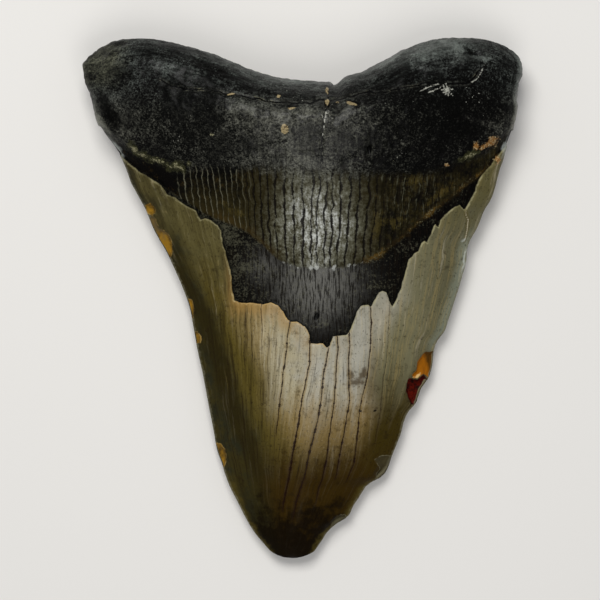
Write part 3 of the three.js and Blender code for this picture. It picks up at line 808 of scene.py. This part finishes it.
chipTones = {
    "amber": tone(142, 106, 30),
    "amberDark": tone(66, 50, 22),
    "amberDull": tone(88, 76, 50),
    "amberEdge": tone(178, 146, 80),
    "orange": tone(148, 88, 12),
    "orangeDark": tone(78, 50, 12),
    # ridge: painted highlight
    "ridge": tone(212, 180, 120),
    "red": tone(84, 16, 5),
    "redDark": tone(24, 7, 4),
    "glass": tone(70, 66, 48),
}


surfaceFeel = {
    "roughness": 0.56,
    "roughnessGrain": 0.06,
    "polish": 0.14,  # how much smoother the glossiest places are
    "specular": 0.03,
    "coat": 0.25,
    "coatRoughness": 0.3,
}


def toothFinish():
    f = Finish("fossilTooth")
    place = f.node("ShaderNodeTexCoord", output="Object")
    inMm = f.node("ShaderNodeVectorMath", {"operation": "SCALE"}, {0: place, "Scale": 1 / millimetre})
    px, py = [f.node("ShaderNodeSeparateXYZ", None, {0: inMm}, axis) for axis in "XY"]
    bareAt, rootAt, bandAt = [f.field(name) for name in ("bare", "rootward", "bandward")]
    flowAt, rimAt, acrossAt = [f.field(name) for name in ("flow", "rim", "across")]
    crackAt, shareAt, gapAt = [f.field(name) for name in ("crackLine", "crackShare", "crackGap")]
    paleAndHighlightField, silverSheenAt, sheenAt, topGap = [f.field(name) for name in ("paleAndHighlight", "silverSheen", "sheen", "topGap")]
    ribAt = f.field("ribLine")

    coarse = f.noise(inMm, 14, 4, 0.6)
    patchy = f.noise(inMm, 5, 5, 0.65)
    mottle = f.noise(inMm, 2.2, 5, 0.7)
    fine = f.noise(inMm, 0.8, 4, 0.7)
    grit = f.noise(inMm, 0.42, 2, 0.6)
    pepper = f.noise(f.joined(px + 31.0, py * 0.8, 0.0), 0.55, 2, 0.5)
    streaks = f.noise(f.joined(flowAt, py * 0.05, 0.0), 0.9, 5, 0.75)
    threads = f.noise(f.joined(flowAt, py * 0.03, 7.0), 0.45, 3, 0.7)
    wideStreaks = f.noise(f.joined(flowAt, py * 0.06, 3.0), 3.2, 4, 0.65)

    # enamel: the left flank, the right flank and the pale middle, which is partly painted highlight
    goldAt = f.field("gold") * (1.0 + wideStreaks * 0.25 + streaks * 0.2 + mottle * 0.12)
    goldTone = f.layers(enamelTones, "goldBrown", (f.ramp(py + patchy * 4 + wideStreaks * 3, -4, 14), "wing"))
    upWing = f.ramp(py + patchy * 2, -6, 8)
    left = f.layers(
        enamelTones, "leftFlank",
        (f.ramp(patchy + wideStreaks * 0.5, -0.5, 0.9), "leftTeal"),
        (goldAt, goldTone),
        (f.ramp(patchy * 0.6 + wideStreaks * 0.5 + coarse * 0.3, 0.0, 1.1) * upWing * 0.5, "leftTeal"),
        (f.ramp(streaks * 0.5 + mottle * 0.4 + patchy * 0.3, 0.25, 1.1) * upWing * 0.45, "goldLine"),
        # painted shade along shadowLine, in the leftBand tone
        (f.ramp(f.field("shadow") + mottle * 0.15 + wideStreaks * 0.15, 0.1, 1.0) * 0.85, "leftBand"))
    rightEdge = f.ramp(rimAt + mottle * 0.8, 3.6, 0.6) * f.ramp(px, 18, 28) * f.ramp(py, -16, -9)
    right = f.layers(
        enamelTones, "rightFlank",
        # darker towards the right edge, partly painted shade
        (f.ramp(px + streaks * 4 + mottle * 1.5, 25, 37) * 0.7, "rightSide"),
        (f.ramp(py + wideStreaks * 5 + mottle * 2, -6, -33), "rightLow"),
        (f.ramp(py + patchy * 3 + wideStreaks * 3, 17, 28) * 0.8, "rightTop"),
        (rightEdge * f.ramp(py, 20, 12) * 0.7, "rightEdge"))
    strip = f.noise(f.joined((crackAt - 0.5).rounded() * 3.7, py * 0.02, 5.0), 1.0, 2, 0.5)
    goldenLow = f.ramp(py + wideStreaks * 6 + mottle * 2, -20, -36)
    goldenLeft = f.ramp(px + streaks * 5 + wideStreaks * 4, -2, -16) * 0.8
    middle = f.layers(
        enamelTones, "middle",
        (f.ramp(patchy * 0.5 + px * 0.05, -0.6, 0.7), "grey"),
        (f.ramp(strip + wideStreaks * 0.4 + patchy * 0.3, -0.2, 1.0) * 0.5, "gold"),
        (goldenLow.top(goldenLeft) * 0.9, "gold"))
    paleAndHighlightAt = paleAndHighlightField * (1.0 + wideStreaks * 0.22 + streaks * 0.22 + mottle * 0.16)
    enamel = f.mix(paleAndHighlightAt, f.mix(f.ramp(px + wideStreaks * 3, -8, 8), left, right), middle)

    # its stains, streaks, edges and cracks
    calm = f.ramp(py, -56, -40, 0.25, 1.0)  # streaks die out towards the tip
    brownShare = f.ramp(py + wideStreaks * 4 + mottle * 2.5, -34, -46) * f.ramp(acrossAt, -0.7, -0.2)
    blotches = f.ramp(mottle * 0.5 + wideStreaks * 0.5 + streaks * 0.4, -0.1, 0.9) * f.ramp(py, -20, -34)
    leftLow = f.ramp(py + patchy * 3, -38, -52) * f.ramp(acrossAt, -0.3, -0.7)
    tipShare = f.ramp(py + mottle * 3.5 + patchy * 4 + wideStreaks * 2, -48, -58)
    lightShare = paleAndHighlightField.top(f.ramp(px, 6, 20) * f.ramp(py, -24, -8) * 0.75)
    lightShare = lightShare.top(f.ramp(bareAt, -9, -3) * 0.4)
    threadShare = f.ramp(py, -34, -20) * f.ramp(py, 24, 6, 0.3, 1.0) * f.ramp(acrossAt, -0.95, -0.6)
    darkShare = f.ramp(px, -24, -14, 0.4, 0.75) * calm
    tipRim = f.ramp(rimAt + mottle * 0.9 + patchy * 0.6, 2.4, 0.4) * f.ramp(py, -40, -48)
    goldEdge = f.ramp(bareAt + streaks * 2.4 + mottle * 0.6, -4.5, -0.4) * f.ramp(px + mottle * 3, 4, -6)
    # a thin pale line along the broken edge: partly its own colour, partly painted highlight
    edgeShare = f.ramp(bareAt + fine * 0.12, -0.34, -0.12) * f.ramp(mottle, -0.5, 0.5, 0.15, 0.9)
    edgeTone = f.layers(enamelTones, "edgePale", (f.ramp(px, -19, -15) * f.ramp(px, 10, 4), "edge"))
    wingAt = f.field("wingCrack") + fine * 0.06
    smudge = f.ramp(f.field("smudge") + mottle * 0.5 + fine * 0.3, -0.4, 0.6)
    crackAway = abs(crackAt - crackAt.rounded()) * gapAt
    beads = f.noise(f.joined(crackAt.rounded() * 7.3, py, 0.0), 1.6, 4, 0.7)
    crackWidth = shareAt * (0.08 + f.ramp(beads, -0.1, 0.9) * 0.26)
    crack = f.ramp(crackAway + fine * 0.05 - crackWidth, 0.16, -0.04) * f.ramp(shareAt, 0.02, 0.4)
    halo = f.ramp(crackAway + fine * 0.15 + streaks * 0.1, 0.8, 0.1) * shareAt
    enamel = f.layers(
        enamelTones, enamel,
        (brownShare, "brown"),
        (blotches * f.ramp(acrossAt, -0.8, -0.4) * 0.55, "brown"),
        (leftLow * 0.45, "leftBand"),
        (tipShare * 0.9, "tip"),
        (f.ramp(streaks, 0.15, 1.1) * (0.05 + lightShare * 0.44) * calm, "light"),
        (f.ramp(threads + px * 0.012, 0.4, 1.0) * 0.28 * calm * threadShare, "goldLine"),
        (f.ramp(streaks * 0.5 + threads * 0.5 + px * 0.012, -0.12, -0.8) * darkShare, "streak"),
        (f.ramp(mottle, -0.2, -1.1) * 0.5, "streak"),
        (f.ramp(pepper * 0.7 + fine * 0.3, 0.35, 0.75) * 0.5 * calm, "streak"),
        (f.ramp(fine * 0.5 + grit * 0.5, 0.2, 0.8) * 0.25 * paleAndHighlightField, "light"),
        (tipRim * 0.6, "goldBrown"),
        (f.ramp(rimAt + fine * 0.3 + mottle * 0.2, 0.7, 0.1) * 0.5, "rimLine"),
        (goldEdge * f.ramp(px, -20, -16) * 0.6, "rustEdge"),
        (edgeShare * f.ramp(px, -24, -16, 0.45, 0.85), edgeTone),
        (f.ramp(wingAt, 0.8, 0.2) * 0.4, "goldBrown"),
        (f.ramp(wingAt, 0.22, 0.08) * 0.6, "light"),
        (smudge * 0.8, "smudge"),
        (halo * paleAndHighlightField * 0.5, "gold"),
        (halo * f.ramp(py, -26, -38) * 0.5, "crack"),
        (crack * 0.95, "crack"))

    # the bare band's ribs: broad in the middle under a painted silvery sheen, thin at the left, stained at the
    # right
    striae = f.noise(f.joined(px, py * 0.10, 0.0), 0.42, 3, 0.65)
    groove = abs(ribAt - ribAt.rounded()) * 2
    grooveNoise = f.noise(f.joined(ribAt.rounded() * 5.1, py, 0.0), 4.0, 4, 0.65)
    grooveWidth = 0.15 + grooveNoise * 0.20
    centred = f.ramp(px + mottle * 1.5, -17, -11) * f.ramp(px + mottle * 2, 22, 15)
    ribEdge = groove + fine * 0.10 + mottle * 0.06 - grooveWidth
    broadRib = f.ramp(ribEdge, -0.06, 0.16)
    thinRib = f.ramp(groove + fine * 0.08 + mottle * 0.06, 0.70, 0.95)
    ribGrain = f.noise(f.joined(px + mottle * 0.1, py * 0.3, 9.0), 0.8, 4, 0.7)
    ribTexture = 0.82 + fine * 0.3 + grit * 0.22 + mottle * 0.32 + ribGrain * 0.5 + patchy * 0.35
    ribShade = silverSheenAt * ribTexture + fine * 0.08
    ribTone = f.layers(
        bareTones, "olive", (f.ramp(ribShade, 0.0, 0.5), "rib"), (f.ramp(ribShade, 0.3, 1.25), "silverSheen"))
    paleBand = f.layers(bareTones, "groove", (broadRib, ribTone))
    ribTops = f.ramp(rootAt + fine * 0.3 + mottle * 0.5, -2.6, -1.2) * f.ramp(grooveNoise, -0.3, 0.3)
    leftShare = f.ramp(patchy * 0.7 + grooveNoise * 0.8, -0.7, 0.5, 0.15, 0.8).top(ribTops)
    leftRibs = f.layers(
        bareTones, "velvet",
        (f.ramp(mottle * 0.4 + fine * 0.3 + rootAt * -0.12, 0.1, 1.4) * f.ramp(px, -33, -27), "olive"),
        (f.ramp(mottle * 0.5 + patchy * 0.4 + grit * 0.3, 0.2, 0.9) * 0.3, "stain"),
        (thinRib * leftShare * f.ramp(px + mottle, -32, -29.5), "thinRib"))
    rightShare = f.ramp(patchy * 0.6 + grooveNoise, -0.1, 0.9) * f.ramp(px, 36, 28)
    rightRibs = f.layers(
        bareTones, "velvet",
        (f.ramp(mottle * 0.6 + patchy * 0.5 + fine * 0.3, -0.7, 0.5), "olive"),
        (f.ramp(mottle * 0.5 + patchy * 0.5 + grit * 0.3, 0.3, 1.0) * 0.5, "stain"),
        (f.ramp(striae * 0.6 + fine * 0.4 + patchy * 0.2, 0.15, 0.8) * 0.4, "rib"),
        (f.ramp(striae + mottle * 0.3, -0.1, -0.6) * 0.55, "velvet"),
        (f.ramp(ribEdge + 0.08, 0.12, 0.0) * 0.75, "groove"),
        (thinRib * rightShare, "rib"))
    blotch = f.ramp(f.field("blotch") + mottle * 0.8 + fine * 0.4, -0.3, 1.0) * f.ramp(ribEdge, -0.05, 0.1)
    lowStain = f.ramp(bandAt + mottle * 1.2 + fine * 0.5 + patchy, 2.6, -0.2) * f.ramp(px, -26, -20)
    band = f.layers(
        bareTones, f.mix(centred, f.mix(f.ramp(px, 0, 6), leftRibs, rightRibs), paleBand),
        (blotch * 0.45, "blotch"),
        (lowStain * f.ramp(px, -3, -10) * 0.2, "stain"))

    # the black ground under the broken enamel, and what lies along the band's foot
    dust = fine * 0.5 + grit * 0.4 + patchy * 0.35 + mottle * 0.3 + f.ramp(px, -6, -14) * 0.3
    ground = f.layers(
        bareTones, "velvet",
        # the striae's grey, lighter where sheenAt paints a sheen
        (f.ramp(sheenAt + (fine * 0.2 + mottle * 0.2) * sheenAt, 0.0, 1.0), "striae"),
        (f.ramp(striae, 0.12, -0.35) * 0.9, "groove"),
        (f.ramp(dust, 0.1, 0.9) * 0.55, "rib"))
    inBand = f.ramp(bandAt + fine * 0.25 + mottle * 0.3, -0.4, 0.5)
    footStain = f.ramp(abs(bandAt - 0.4) + mottle * 0.9 + fine * 0.5, 0.9, -0.1) * f.ramp(px, 12, 19)
    footSpecks = f.ramp(grit * 0.6 + fine * 0.6 + patchy * 0.3, 0.3, 0.8) * 0.6
    bareColour = f.layers(
        bareTones, ground,
        (inBand, band),
        (footStain * f.ramp(patchy + mottle * 0.7, -0.3, 0.6, 0.1, 1.0), "stain"),
        (footStain * footSpecks, rootTones["ledge"]),
        (f.ramp(f.field("nodule") + fine * 0.2, 0.2, 0.7) * 0.7, "silverSheen"),
        # painted shade just above the enamel's broken edge
        (f.ramp(bareAt + fine * 0.1, 0.9, 0.1) * 0.75, "underLedgeShade"))

    # root
    fibres = f.noise(f.joined(topGap, px * 0.10, 0.0), 0.7, 4, 0.7) * f.ramp(topGap, 13, 7)
    uprights = f.noise(f.joined(px, py * 0.1, 4.0), 0.6, 3, 0.7)
    uprights = uprights * f.ramp(py, 46, 36) * f.ramp(abs(px - 2.0), 24, 12)
    clumps = f.ramp(patchy + coarse * 0.5, -0.7, 0.6, 0.45, 1.2)
    shade = f.field("rootPaleAndPaintedLight") * (1.0 + patchy * 0.5 + coarse * 0.4)
    shade = shade + (fine * 0.19 + grit * 0.22 + mottle * 0.14) * clumps + fibres * 0.16 + uprights * 0.13
    lightTone = f.layers(
        rootTones, "light",
        (f.ramp(py, 44, 54), "topLight"),
        (f.ramp(px + mottle * 2, -41, -48) * f.ramp(py, 50, 55), "beige"))
    root = f.layers(
        rootTones, "dark",
        (f.ramp(shade, -0.02, 1.1), lightTone),
        (f.ramp(pepper * 0.6 + grit * 0.4 + f.field("speckle") * 0.5, 0.95, 1.2) * 0.8, "speck"))
    footAt = rootAt * f.ramp(abs(px - 3.0), 8, 17, 0.5, 1.0)  # the ribs fade into the root in the middle
    creaseAway = abs(f.field("crease")) + fine * 0.10
    splitAway = abs(f.field("split")) + fine * 0.08
    ledgeAt = f.field("ledge") + fine * 0.6 + mottle * 0.6
    ledgeDark = f.ramp(ledgeAt + patchy * 0.5, -0.9, 0.3) * f.ramp(abs(px), 25, 29) * 0.6
    bareColour = f.layers(
        rootTones, bareColour,
        (f.ramp(footAt + fine * 0.4 + mottle * 0.7 + uprights * 0.6, -2.2, 0.8), root),
        # lighter lip along the crease: painted highlight
        (f.ramp(creaseAway, 0.8, 0.3) * f.ramp(mottle, -0.4, 0.8) * 0.22, "light"),
        (f.ramp(creaseAway, 0.42, 0.2) * f.ramp(mottle + patchy * 0.4, 0.35, 0.8) * 0.7, "ledge"),
        # painted shade in the crease and the split
        (f.ramp(creaseAway, 0.32, 0.12) * f.ramp(patchy + mottle * 0.4, -0.7, 0.0, 0.35, 1.0), "holeShade"),
        (f.ramp(splitAway, 0.3, 0.06) * 0.95, "holeShade"),
        (f.ramp(f.field("mineral") + fine * 0.4 + grit * 0.3, 0.2, 0.8) * 0.85, "speck"),
        (ledgeDark, "ledgeDark"),
        # painted highlight along the root's ledge, and pale specks
        (f.ramp(ledgeAt + grit * 0.4, 0.35, 0.75) * 0.8, "ledge"))

    # flakes, patches, pits and grains, over enamel and root alike
    enamelShare = f.ramp(bareAt, 0.06, -0.06)
    rust = f.layers(rootTones, "rust", (f.ramp(grit * 0.6 + fine * 0.6, 0.0, 0.5), "rustPale"))
    glassAt, amberAt = f.field("glass") + fine * 0.08, f.field("amber") + fine * 0.08
    orangeAt, redAt = f.field("orange") + fine * 0.06, f.field("red") + fine * 0.08
    dull = f.ramp(py + mottle * 1.5, 14.5, 17.5) * f.ramp(py, 21.4, 20.4)
    amber = f.layers(
        chipTones, "amberDark",
        (f.ramp(mottle * 0.5 + patchy * 0.4 + fine * 0.2 + amberAt * 0.4, -0.3, 0.9), "amber"),
        (dull * 0.85, "amberDull"))
    orange = f.layers(chipTones, "orange", (f.ramp(px + py * 0.3 + mottle * 0.4, 25.6, 26.8), "orangeDark"))
    red = f.layers(chipTones, "redDark", (f.ramp(mottle * 0.5 + fine * 0.5, -0.5, 0.5), "red"))
    grain = f.layers(rootTones, "grainDark", (f.ramp(fine * 0.5 + grit * 0.5, -0.7, 0.1), "grain"))
    colour = f.layers(
        chipTones, f.mix(enamelShare, bareColour, enamel),
        (f.ramp(f.field("rust") + fine * 0.5 + mottle * 0.4, -0.05, 0.45) * 0.85, rust),
        # painted glints
        (f.ramp(f.field("glintHighlight") + fine * 0.15 + mottle * 0.2, 0.0, 0.8) * 0.6, rootTones["glintHighlight"]),
        (f.ramp(glassAt, 0.0, 0.3) * 0.5, "glass"),
        (f.ramp(abs(glassAt), 0.16, 0.04) * f.ramp(mottle, -0.6, 0.5) * 0.75, enamelTones["rimLine"]),
        (f.ramp(amberAt, 0.0, 0.22), amber),
        (f.ramp(abs(amberAt - 0.05), 0.2, 0.04) * f.ramp(mottle, -0.4, 0.6) * 0.6, "amberEdge"),
        (f.ramp(orangeAt, 0.0, 0.2), orange),
        (f.ramp(redAt, 0.0, 0.2), red),
        # painted highlight along the ridge between the flakes
        (f.ramp(abs(f.field("ridge")) + fine * 0.06, 0.26, 0.06) * 0.85, "ridge"),
        # painted shade in the pits
        (f.ramp(f.field("pit") + fine * 0.06, 0.0, 0.3) * 0.9, rootTones["holeShade"]),
        (f.ramp(f.field("grain") + fine * 0.14 + grit * 0.08, 0.02, 0.25), grain))

    # fine relief, in millimetres
    bareShare = 1 - enamelShare
    rootShare = bareShare * f.ramp(rootAt, -2, 1)
    onEnamel = (streaks * 0.016 + threads * 0.008) * calm + fine * 0.012 + mottle * 0.02
    onEnamel = onEnamel - crack * 0.05 - f.ramp(pepper, 0.5, 0.9) * 0.02
    onRoot = mottle * 0.07 + fine * 0.07 + grit * 0.035 + fibres * 0.05 + uprights * 0.05
    height = onEnamel * enamelShare + onRoot * rootShare
    height = height + (striae * 0.09 * (1 - inBand) + grit * 0.02 + fine * 0.035) * bareShare
    height = height + (broadRib * centred + thinRib * (1 - centred)) * 0.14 * f.field("ribShare")
    bump = f.node("ShaderNodeBump", None, {"Height": height, "Distance": millimetre, "Strength": 1.0})

    glossy = enamelShare * (0.08 + paleAndHighlightField * 0.92)
    glossy = glossy + bareShare * (silverSheenAt * inBand + sheenAt * (1 - inBand) * 0.7)
    glossy = glossy + rootShare * (0.15 + f.field("rootPaleAndPaintedLight") * 1.5)
    feel = surfaceFeel
    roughness = feel["roughness"] + fine * feel["roughnessGrain"] - glossy * feel["polish"]
    f.surface({
        "Base Color": colour,
        "Roughness": roughness,
        "Specular IOR Level": feel["specular"],
        "Coat Weight": glossy * feel["coat"],
        "Coat Roughness": feel["coatRoughness"],
        "Normal": bump,
    })
    return f.material


tooth = bpy.data.objects.new("toothSurface", toothMesh)
bpy.context.collection.objects.link(tooth)
toothMesh.materials.append(toothFinish())
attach(tooth, "root")
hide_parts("tooth")
print("tooth finished")

# floor, light and camera
stageSettings = {
    "floorTone": tone(226, 224, 220),
    "floorSize": 3.0,
    "worldTone": tone(228, 232, 240),
    "worldStrength": 0.30,
    "lampAim": (0, 0, 0.01),
}
lamps = [
    {"name": "keySoftbox", "size": 0.32, "power": 3.4, "at": (-0.10, 0.30, 0.62), "tone": (1.0, 0.99, 0.97)},
    {"name": "frontSoftbox", "size": 0.40, "power": 1.4, "at": (0.06, -0.30, 0.64), "tone": (1.0, 0.98, 0.95)},
]

floorShape = bmesh.new()
bmesh.ops.create_grid(floorShape, x_segments=1, y_segments=1, size=stageSettings["floorSize"])
floorMesh = bpy.data.meshes.new("floor")
floorShape.to_mesh(floorMesh)
floorShape.free()
floor = bpy.data.objects.new("floor", floorMesh)
bpy.context.collection.objects.link(floor)
paper = Finish("palePaper")
paper.surface({"Base Color": stageSettings["floorTone"], "Roughness": 0.9, "Specular IOR Level": 0.1})
floorMesh.materials.append(paper.material)

world = bpy.data.worlds.new("softRoom")
world.use_nodes = True
sky = world.node_tree.nodes["Background"].inputs
sky["Color"].default_value = stageSettings["worldTone"]
sky["Strength"].default_value = stageSettings["worldStrength"]
bpy.context.scene.world = world

for lamp in lamps:
    light = bpy.data.lights.new(lamp["name"], "AREA")
    light.size = lamp["size"]
    light.energy = lamp["power"]
    light.color = lamp["tone"]
    lampObject = bpy.data.objects.new(lamp["name"], light)
    lampObject.location = lamp["at"]
    aim = Vector(stageSettings["lampAim"]) - lampObject.location
    lampObject.rotation_euler = aim.to_track_quat("-Z", "Y").to_euler()
    bpy.context.collection.objects.link(lampObject)

cameraSettings = {
    "lens": 180.0,
    "frameWidth": 0.150,  # what the photograph's 600 pixels span
    "frameHeight": 0.008,  # the height at which they span it
    "centre": (-0.00062, -0.00025),
}
cameraData = bpy.data.cameras.new("camera")
cameraData.lens = cameraSettings["lens"]
cameraData.sensor_width = 36.0
cameraData.clip_start = 0.01
distance = cameraSettings["frameWidth"] * cameraData.lens / cameraData.sensor_width
camera = bpy.data.objects.new("camera", cameraData)
camera.location = (*cameraSettings["centre"], distance + cameraSettings["frameHeight"])
bpy.context.collection.objects.link(camera)
bpy.context.scene.camera = camera
bpy.context.scene.view_settings.view_transform = "Standard"
print("stage set")
